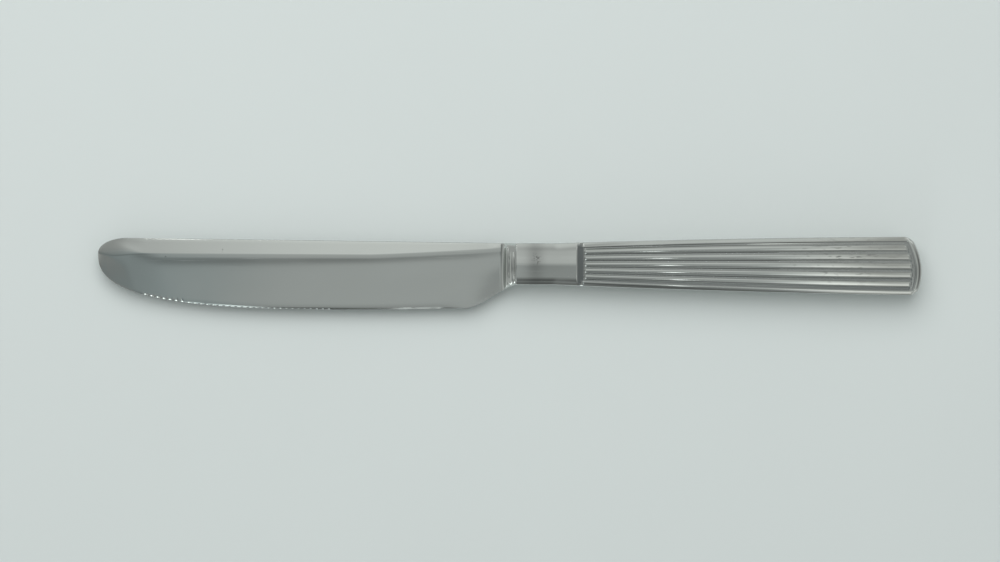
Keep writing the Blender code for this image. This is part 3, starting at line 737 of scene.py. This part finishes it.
def blade_stations():
    """Distances along the blade, close together at the point and along the teeth."""
    tip = -BLADE_REACH
    teeth_end = -TEETH_FROM + TOOTH_PITCH / 2
    teeth_start = teeth_end - TOOTH_COUNT * TOOTH_PITCH
    point = [tip + TIP_FACET]
    point += [mix(tip, teeth_start, (step / TIP_STEPS) ** 2) for step in range(1, TIP_STEPS + 1)]
    teeth = spread(teeth_start, teeth_end, TOOTH_COUNT * TOOTH_STEPS)
    run = spread(teeth_end, -HEEL_AHEAD, RUN_STEPS)
    return point + teeth + run + spread(-HEEL_AHEAD, -COLLAR_LENGTH - COLLAR_FILLET, HEEL_STEPS)


def ring(x, half):
    """A whole section in space from its half, the far side mirrored."""
    return [(x, y, z) for y, z in half] + [(x, y, -z) for y, z in half[-2:0:-1]]


def collar_rings():
    """From the blade's face up a hollow fillet to the rounded shoulder, and over the bead."""
    start = -COLLAR_LENGTH - COLLAR_FILLET
    rings = []
    for x in spread(start, -COLLAR_LENGTH, FILLET_STEPS):
        climb = ((x - start) / COLLAR_FILLET) ** FILLET_EASE
        oval = collar_section(x, collar_thickness(-COLLAR_LENGTH))
        rows = [
            (mix(y, oval_y, climb), mix(z, oval_z, climb))
            for (y, z), (oval_y, oval_z) in zip(blade_section(x), oval)
        ]
        rings.append(ring(x, rows))
    for x in spread(-COLLAR_LENGTH, -BEAD_LENGTH, SHOULDER_STEPS) + spread(-BEAD_LENGTH, 0.0, BEAD_STEPS):
        oval = collar_section(x, collar_thickness(x))
        swollen = [(y, z + bead_swell(x, y) * min(z / COLLAR_START, 1.0)) for y, z in oval]
        rings.append(ring(x, swollen))
    return rings


def tang_rings():
    """The spigot that plugs the handle's mouth and the notched tang behind it."""
    plug = oval_section(0.0, NECK_WIDTH / 2 - SHELL_WALL - FIT, CEILING - FIT, SPIGOT_SQUARENESS)
    rings = [ring(x, plug) for x in (0.0, SPIGOT_LENGTH)]
    stations = [(SPIGOT_LENGTH, 0.0)]
    spacing = (TANG_END - SPIGOT_LENGTH) / (NOTCH_COUNT + 1)
    for notch in range(1, NOTCH_COUNT + 1):
        middle = SPIGOT_LENGTH + notch * spacing
        lip, floor = NOTCH_LENGTH / 2, NOTCH_LENGTH / 2 - NOTCH_DEPTH
        stations += [(middle - lip, 0.0), (middle - floor, NOTCH_DEPTH)]
        stations += [(middle + floor, NOTCH_DEPTH), (middle + lip, 0.0)]
    stations += [(TANG_END - TANG_END_TAPER, 0.0), (TANG_END, TANG_END_DROP)]
    for x, bite in stations:
        share = (x - SPIGOT_LENGTH) / (TANG_END - SPIGOT_LENGTH)
        height = mix(TANG_HEIGHT, TANG_END_HEIGHT, share) / 2 - bite
        half = oval_section(0.0, height, TANG_HALF_THICKNESS, SPIGOT_SQUARENESS)
        rings.append(ring(x, half))
    return rings


# Meshes


def add_piece(name, points, faces, node, slot, look, grooves=None):
    """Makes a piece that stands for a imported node, smooth apart from its real edges."""
    mesh = bpy.data.meshes.new(name)
    mesh.from_pydata((np.asarray(points) + ORIGIN).tolist(), [], faces)
    # Stores a point attribute; on the handle it is the dull finish and painted shade of the grooves
    if grooves is not None:
        depth = mesh.attributes.new("groove", "FLOAT", "POINT")
        depth.data.foreach_set("value", np.asarray(grooves, dtype=np.float32))
    bm = bmesh.new()
    bm.from_mesh(mesh)
    bmesh.ops.recalc_face_normals(bm, faces=bm.faces)
    bm.to_mesh(mesh)
    bm.free()
    mesh.shade_smooth()
    mesh.set_sharp_from_angle(angle=SHARP_ANGLE)
    mesh.materials.append(look)
    obj = bpy.data.objects.new(name, mesh)
    bpy.context.scene.collection.objects.link(obj)
    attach(obj, "root")
    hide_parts(node)


def strip_faces(fore, aft):
    """Quads between two rows of point numbers of the same length."""
    return [(a, b, d, c) for a, b, c, d in zip(fore, fore[1:], aft, aft[1:])]


def loft(rings):
    """Points and faces of a closed body through sections that match point for point."""
    count = len(rings[0])
    points = [point for points in rings for point in points]
    loops = [[start + spot for spot in range(count)] for start in range(0, len(points), count)]
    faces = [tuple(loops[0]), tuple(loops[-1])]
    for fore, aft in zip(loops, loops[1:]):
        faces += strip_faces(fore + fore[:1], aft + aft[:1])
    return points, faces


def perimeter(grid):
    """The outline of a grid of point numbers: along one side, across the butt and back."""
    return list(grid[:, 0]) + list(grid[-1, 1:-1]) + list(grid[::-1, -1])


def shell_grids():
    """Where the handle's outside and its hollow are sampled: two pairs of along and across."""
    stations = np.array(shell_stations())
    across = np.array([shell_lines(along) for along in stations])
    along = np.repeat(stations[:, None], across.shape[1], axis=1)
    inner_reach = (HANDLE_LENGTH - SHELL_WALL - FIT) / (HANDLE_LENGTH - FIT)
    inner_along = FIT + (along - FIT) * inner_reach
    inner_across = across * (half_width(inner_along) - SHELL_WALL) / half_width(along)
    return (along, across), (inner_along, inner_across)


def surface_points(along, across, height):
    """Points of the handle's outside or of its hollow, by the function that gives their height."""
    return np.stack([*plan_points(along, across), height(along, across)], axis=-1).reshape(-1, 3)


def add_shell(name, node, side, look):
    """One pressed half of the handle: ribbed outside, hollow inside, open at its mouth and foot."""
    (along, across), (inner_along, inner_across) = shell_grids()
    count = along.size
    outer_ids = np.arange(count).reshape(along.shape)
    inner_ids = outer_ids + count
    outer = surface_points(along, across, shell_height)
    inner = surface_points(inner_along, inner_across, cavity_height)
    body = np.concatenate([outer, inner])
    rim, lip = perimeter(outer_ids), perimeter(inner_ids)
    feet = body[rim + lip].copy()
    feet[:, 2] = PARTING
    points = np.concatenate([body, feet]) * (1.0, 1.0, side)
    foot = list(range(2 * count, 2 * count + len(rim)))
    sole = list(range(foot[-1] + 1, foot[-1] + 1 + len(lip)))
    faces = strip_faces(rim, foot) + strip_faces(foot, sole) + strip_faces(sole, lip)
    for ids in (outer_ids, inner_ids):
        for fore, aft in zip(ids.tolist(), ids.tolist()[1:]):
            faces += strip_faces(fore, aft)
    mouth = [foot[0], *outer_ids[0], foot[-1]]
    throat = [sole[0], *inner_ids[0], sole[-1]]
    faces += strip_faces(mouth, throat)
    # Per point on the outside: how far the handle is darkened there by a dull finish and painted shade
    grooves = np.zeros(len(points))
    grooves[:count] = dullness_and_painted_shade(along, across).ravel()
    add_piece(name, points, faces, node, "handle_steel", look, grooves)


def add_seam(look):
    """The ribbon of braze between the halves, round the handle's outline."""
    (along, across), (inner_along, inner_across) = shell_grids()
    ids = np.arange(along.size).reshape(along.shape)
    outline = perimeter(ids)
    outer = np.stack(plan_points(along, across), axis=-1).reshape(-1, 2)[outline]
    inner = np.stack(plan_points(inner_along, inner_across), axis=-1).reshape(-1, 2)[outline]
    half = PARTING - BRAZE_INSET
    rings = [
        [(*rim, half), (*rim, -half), (*lip, -half), (*lip, half)]
        for rim, lip in zip(outer, inner)
    ]
    add_piece("braze_seam", *loft(rings), "handle_braze_seam", "braze", look)


def add_blade(look):
    """One forging from the point to the end of the tang."""
    rings = [ring(x, blade_section(x)) for x in blade_stations()]
    rings += collar_rings() + tang_rings()
    add_piece("knife_blade", *loft(rings), "blade", "blade_steel", look)


# Materials


def feed(tree, socket, value):
    if isinstance(value, bpy.types.NodeSocket):
        tree.links.new(value, socket)
    else:
        socket.default_value = value


def add_node(tree, kind, inputs, **settings):
    node = tree.nodes.new(kind)
    for name, value in settings.items():
        setattr(node, name, value)
    for name, value in inputs.items():
        feed(tree, node.inputs[name], value)
    return node


def calc(tree, operation, *values):
    return add_node(tree, "ShaderNodeMath", dict(enumerate(values)), operation=operation).outputs[0]


def ramp(tree, value, low, high, start, end):
    """Runs smoothly from start to end while a value goes from low to high."""
    inputs = {"Value": value, "From Min": low, "From Max": high, "To Min": start, "To Max": end}
    node = add_node(tree, "ShaderNodeMapRange", inputs, interpolation_type="SMOOTHSTEP")
    return node.outputs["Result"]


def blob(tree, x, y, centre, size):
    """A soft spot on a plane: 1 in its middle, fading out over its size."""
    off_x = calc(tree, "DIVIDE", calc(tree, "SUBTRACT", x, centre[0]), size[0])
    off_y = calc(tree, "DIVIDE", calc(tree, "SUBTRACT", y, centre[1]), size[1])
    squares = calc(tree, "ADD", calc(tree, "MULTIPLY", off_x, off_x), calc(tree, "MULTIPLY", off_y, off_y))
    return calc(tree, "EXPONENT", calc(tree, "MULTIPLY", squares, -1.0))


def mix_levels(tree, share, first, second):
    """A number that goes from the first to the second as the share rises."""
    change = calc(tree, "MULTIPLY", calc(tree, "SUBTRACT", second, first), share)
    return calc(tree, "ADD", first, change)


def noise(tree, place, scale, detail, roughness=0.5):
    inputs = {"Vector": place, "Scale": scale, "Detail": detail, "Roughness": roughness}
    return add_node(tree, "ShaderNodeTexNoise", inputs).outputs["Fac"]


def blend_colours(tree, share, first, second):
    node = add_node(tree, "ShaderNodeMix", {0: share}, data_type="RGBA")
    feed(tree, node.inputs[MIX_FIRST], first)
    feed(tree, node.inputs[MIX_SECOND], second)
    return node.outputs[MIX_RESULT]


def drawn_noise(tree, place, turn, stretch, detail):
    """Noise turned about z and drawn out along one direction, for hairlines and smears."""
    inputs = {"Vector": place, "Rotation": (0.0, 0.0, turn), "Scale": stretch}
    drawn = add_node(tree, "ShaderNodeMapping", inputs).outputs["Vector"]
    return noise(tree, drawn, 1.0, detail)


def new_material(name, metallic):
    made = bpy.data.materials.new(name)
    made.use_nodes = True
    tree = made.node_tree
    shader = tree.nodes["Principled BSDF"]
    shader.inputs["Metallic"].default_value = metallic
    place = add_node(tree, "ShaderNodeTexCoord", {}).outputs["Object"]
    return made, tree, shader, place


def add_bump(tree, shader, height, strength, depth):
    inputs = {"Strength": strength, "Distance": depth, "Height": height}
    bump = add_node(tree, "ShaderNodeBump", inputs)
    feed(tree, shader.inputs["Normal"], bump.outputs["Normal"])


def add_scratches(tree, shader, place, polish, rough, bump):
    """Adds fine scratches in two directions to the roughness of a polish, and as bump."""
    fine = ramp(tree, drawn_noise(tree, place, *FINE_SCRATCHES), *FINE_SCRATCH_STEP)
    slanted = ramp(tree, drawn_noise(tree, place, *SLANTED_SCRATCHES), *SLANTED_SCRATCH_STEP)
    scratches = calc(tree, "MAXIMUM", fine, slanted)
    worn = calc(tree, "ADD", polish, calc(tree, "MULTIPLY", scratches, rough))
    feed(tree, shader.inputs["Roughness"], worn)
    add_bump(tree, shader, scratches, bump, SCRATCH_DEPTH)


def at_knife(tree, place, centre, size):
    """A soft spot on the knife's upper side, placed in the knife's own frame."""
    axes = add_node(tree, "ShaderNodeSeparateXYZ", {"Vector": place})
    middle = (ORIGIN[0] + centre[0], ORIGIN[1] + centre[1])
    spot = blob(tree, axes.outputs["X"], axes.outputs["Y"], middle, size)
    upper = ramp(tree, axes.outputs["Z"], ORIGIN[2], ORIGIN[2] + FIT, 0.0, 1.0)
    return calc(tree, "MULTIPLY", spot, upper)


def blade_specks(tree, place):
    """A few small dark specks under the back's bevel, towards the point."""
    grain = noise(tree, place, *BLADE_GRAIN)
    near = at_knife(tree, place, *BLADE_SPECKS)
    mark = at_knife(tree, place, *BLADE_MARK)
    specks = calc(tree, "MULTIPLY", grain, calc(tree, "MAXIMUM", near, mark))
    return ramp(tree, specks, *BLADE_SPECK_STEP)


def neck_stains(tree, place):
    """A few small dark stains and a faint streak across the neck."""
    grain = noise(tree, place, *NECK_GRAIN)
    near = at_knife(tree, place, *NECK_SPECKS)
    specks = ramp(tree, calc(tree, "MULTIPLY", grain, near), *NECK_SPECK_STEP)
    streak = calc(tree, "MULTIPLY", at_knife(tree, place, *NECK_STREAK), NECK_STREAK_DEPTH)
    return calc(tree, "MAXIMUM", specks, streak)


def butt_nicks(tree, place):
    """Short dark nicks along the ribs, close to the butt."""
    grain = drawn_noise(tree, place, *NICK_GRAIN)
    near = at_knife(tree, place, *BUTT_NICKS)
    return calc(tree, "MULTIPLY", ramp(tree, grain, *NICK_STEP), near)


def blade_steel():
    """Polished blade steel with faint smears, a few specks and hairline scratches."""
    made, tree, shader, place = new_material("polished_blade_steel", 1.0)
    smears = drawn_noise(tree, place, *BLADE_SMEARS)
    colour = blend_colours(tree, ramp(tree, smears, *SMEAR_STEP), BLADE_DARK, BLADE_LIGHT)
    colour = blend_colours(tree, blade_specks(tree, place), colour, STAIN_COLOUR)
    feed(tree, shader.inputs["Base Color"], colour)
    polish = ramp(tree, smears, *BLADE_POLISH)
    add_scratches(tree, shader, place, polish, BLADE_SCRATCH_ROUGH, BLADE_SCRATCH_BUMP)
    return made


def handle_steel():
    """Pressed handle steel: bright crests, grooves darkened by a dull finish and painted shade, stains on
    the neck and nicks by the butt.
    """
    made, tree, shader, place = new_material("pressed_handle_steel", 1.0)
    groove = add_node(tree, "ShaderNodeAttribute", {}, attribute_name="groove").outputs["Fac"]
    smears = drawn_noise(tree, place, *HANDLE_SMEARS)
    crest = blend_colours(tree, ramp(tree, smears, *SMEAR_STEP), CREST_DARK, CREST_LIGHT)
    # Darkens the grooves and the band: a dull finish and painted shade in the recesses
    sunk = blend_colours(tree, groove, crest, GROOVE_DULL_AND_SHADE_COLOUR)
    nicks = calc(tree, "MULTIPLY", butt_nicks(tree, place), calc(tree, "SUBTRACT", 1.0, groove))
    marks = calc(tree, "MAXIMUM", neck_stains(tree, place), nicks)
    feed(tree, shader.inputs["Base Color"], blend_colours(tree, marks, sunk, STAIN_COLOUR))
    polish = ramp(tree, groove, *HANDLE_POLISH)
    add_scratches(tree, shader, place, polish, HANDLE_SCRATCH_ROUGH, HANDLE_SCRATCH_BUMP)
    return made


def braze_metal():
    """Brazing metal polished flush, with a slight mottle."""
    made, tree, shader, place = new_material("flush_braze", 1.0)
    mottle = noise(tree, place, *BRAZE_MOTTLE)
    feed(tree, shader.inputs["Base Color"], blend_colours(tree, mottle, BRAZE_DARK, BRAZE_LIGHT))
    feed(tree, shader.inputs["Roughness"], ramp(tree, mottle, *BRAZE_POLISH))
    return made


def cement():
    """Set grey filler with fine grit."""
    made, tree, shader, place = new_material("set_cement", 0.0)
    grit = noise(tree, place, *CEMENT_GRIT)
    feed(tree, shader.inputs["Base Color"], blend_colours(tree, grit, CEMENT_DARK, CEMENT_LIGHT))
    feed(tree, shader.inputs["Roughness"], ramp(tree, grit, *CEMENT_ROUGH))
    add_bump(tree, shader, grit, CEMENT_BUMP, CEMENT_GRIT_DEPTH)
    return made


# Floor, light and camera


def add_floor():
    """A pale, smooth table top with the faintest mottle."""
    made, tree, shader, place = new_material("pale_table_top", 0.0)
    mottle = noise(tree, place, *FLOOR_MOTTLE)
    feed(tree, shader.inputs["Base Color"], blend_colours(tree, mottle, FLOOR_DARK, FLOOR_LIGHT))
    shader.inputs["Roughness"].default_value = FLOOR_ROUGH
    shader.inputs["Specular IOR Level"].default_value = FLOOR_SPECULAR
    bpy.ops.mesh.primitive_plane_add(size=FLOOR_SIZE)
    floor = bpy.context.object
    floor.name = "table_top"
    floor.data.materials.append(made)


def add_steps(tree, value, steps):
    """Smooth steps over one value, added up."""
    level = ramp(tree, value, *steps[0])
    for step in steps[1:]:
        level = calc(tree, "ADD", level, ramp(tree, value, *step))
    return level


def dim_share(tree, x, y, at_handle):
    """1 on the room's dim side, by the blade's edge, and 0 on its bright side, behind the blade's back."""
    blade, point = ramp(tree, y, *TURN_BY_BLADE), ramp(tree, y, *TURN_BY_POINT)
    turn = mix_levels(tree, ramp(tree, x, *POINT_END), blade, point)
    turn = mix_levels(tree, at_handle, turn, ramp(tree, y, *TURN_BY_HANDLE))
    return calc(tree, "MULTIPLY", turn, ramp(tree, x, *DIM_SIDE_END))


def room_level(tree, x, y, z, at_handle, by_edge):
    """How bright the room is in a direction."""
    band = calc(tree, "MULTIPLY", blob(tree, x, y, *DARK_BAND), DARK_BAND_DEPTH)
    band = calc(tree, "MULTIPLY", band, ramp(tree, x, *DARK_BAND_END))
    dim = calc(tree, "SUBTRACT", add_steps(tree, x, DIM_SIDE), band)
    level = mix_levels(tree, by_edge, add_steps(tree, x, BRIGHT_SIDE), dim)
    aside = ramp(tree, calc(tree, "ABSOLUTE", x), *OFF_TO_A_SIDE)
    front = mix_levels(tree, aside, ramp(tree, y, *FRONT_SHADE), 1.0)
    lift = mix_levels(tree, at_handle, ramp(tree, y, *BACK_LIFT), 1.0)
    for change in (front, lift, ramp(tree, y, *BACK_SHADE)):
        level = calc(tree, "MULTIPLY", level, change)
    level = mix_levels(tree, ramp(tree, x, *PAST_POINT), level, PAST_POINT_LEVEL)
    past_butt = calc(tree, "MULTIPLY", blob(tree, x, y, *PAST_BUTT), PAST_BUTT_DEPTH)
    level = calc(tree, "MULTIPLY", level, calc(tree, "SUBTRACT", 1.0, past_butt))
    level = mix_levels(tree, ramp(tree, z, *NEAR_FLOOR), level, NEAR_FLOOR_LEVEL)
    for centre, size, strength in SOFT_BOXES:
        level = calc(tree, "ADD", level, calc(tree, "MULTIPLY", blob(tree, x, y, centre, size), strength))
    return level


def room_colour(tree, x, by_edge):
    """The room's tint in a direction: cooler on the dim side, warmer by the butt."""
    cool = calc(tree, "MULTIPLY", by_edge, ramp(tree, x, *COOL_BY_POINT))
    cool = calc(tree, "MULTIPLY", cool, ramp(tree, x, *COOL_START))
    colour = blend_colours(tree, cool, LIGHT_TINT, COOL_TINT)
    warm = calc(tree, "MULTIPLY", ramp(tree, x, *WARM_START), ramp(tree, x, *WARM_END))
    return blend_colours(tree, warm, colour, WARM_TINT)


def add_world():
    """The room that the steel mirrors: a bright side behind the blade's back, a dim one by its edge."""
    world = bpy.data.worlds.new("soft_room")
    bpy.context.scene.world = world
    world.use_nodes = True
    tree = world.node_tree
    direction = add_node(tree, "ShaderNodeTexCoord", {}).outputs["Generated"]
    axes = add_node(tree, "ShaderNodeSeparateXYZ", {"Vector": direction})
    x, y, z = axes.outputs["X"], axes.outputs["Y"], axes.outputs["Z"]
    at_handle = ramp(tree, x, *HANDLE_START)
    by_edge = dim_share(tree, x, y, at_handle)
    background = tree.nodes["Background"]
    feed(tree, background.inputs["Color"], room_colour(tree, x, by_edge))
    feed(tree, background.inputs["Strength"], room_level(tree, x, y, z, at_handle, by_edge))


def add_lamp():
    """A large soft lamp behind the blade's back, which throws the shadow towards the edge."""
    data = bpy.data.lights.new("soft_lamp", "AREA")
    data.shape = "DISK"
    data.size = LAMP_SIZE
    data.energy = LAMP_ENERGY
    lamp = bpy.data.objects.new("soft_lamp", data)
    lamp.location = LAMP_PLACE
    lamp.rotation_euler = (-math.atan2(LAMP_PLACE[1], LAMP_PLACE[2]), 0.0, 0.0)
    lamp.visible_glossy = False
    bpy.context.scene.collection.objects.link(lamp)


def add_camera():
    """Straight above the knife, turned so that the handle lies as in the photograph."""
    data = bpy.data.cameras.new("camera")
    data.sensor_width = SENSOR_WIDTH
    data.lens = SENSOR_WIDTH * PIXELS_PER_METRE * CAMERA_HEIGHT / IMAGE_WIDTH
    camera = bpy.data.objects.new("camera", data)
    right = (JOINT_PIXEL_X - IMAGE_WIDTH / 2) / PIXELS_PER_METRE
    up = (IMAGE_HEIGHT / 2 - JOINT_PIXEL_Y) / PIXELS_PER_METRE
    camera.location.x = ORIGIN[0] - right * math.cos(KNIFE_TURN) + up * math.sin(KNIFE_TURN)
    camera.location.y = ORIGIN[1] - right * math.sin(KNIFE_TURN) - up * math.cos(KNIFE_TURN)
    camera.location.z = ORIGIN[2] + CAMERA_HEIGHT
    camera.rotation_euler.z = KNIFE_TURN
    bpy.context.scene.collection.objects.link(camera)
    bpy.context.scene.camera = camera


def main():
    handle_look = handle_steel()
    add_blade(blade_steel())
    add_shell("front_shell", "handle_front_shell", 1.0, handle_look)
    add_shell("back_shell", "handle_back_shell", -1.0, handle_look)
    add_seam(braze_metal())
    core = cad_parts["handle_cement_core"]
    core.data.materials.clear()
    core.data.materials.append(cement())
    add_floor()
    add_world()
    add_lamp()
    add_camera()
    bpy.context.scene.view_settings.view_transform = "Standard"


main()
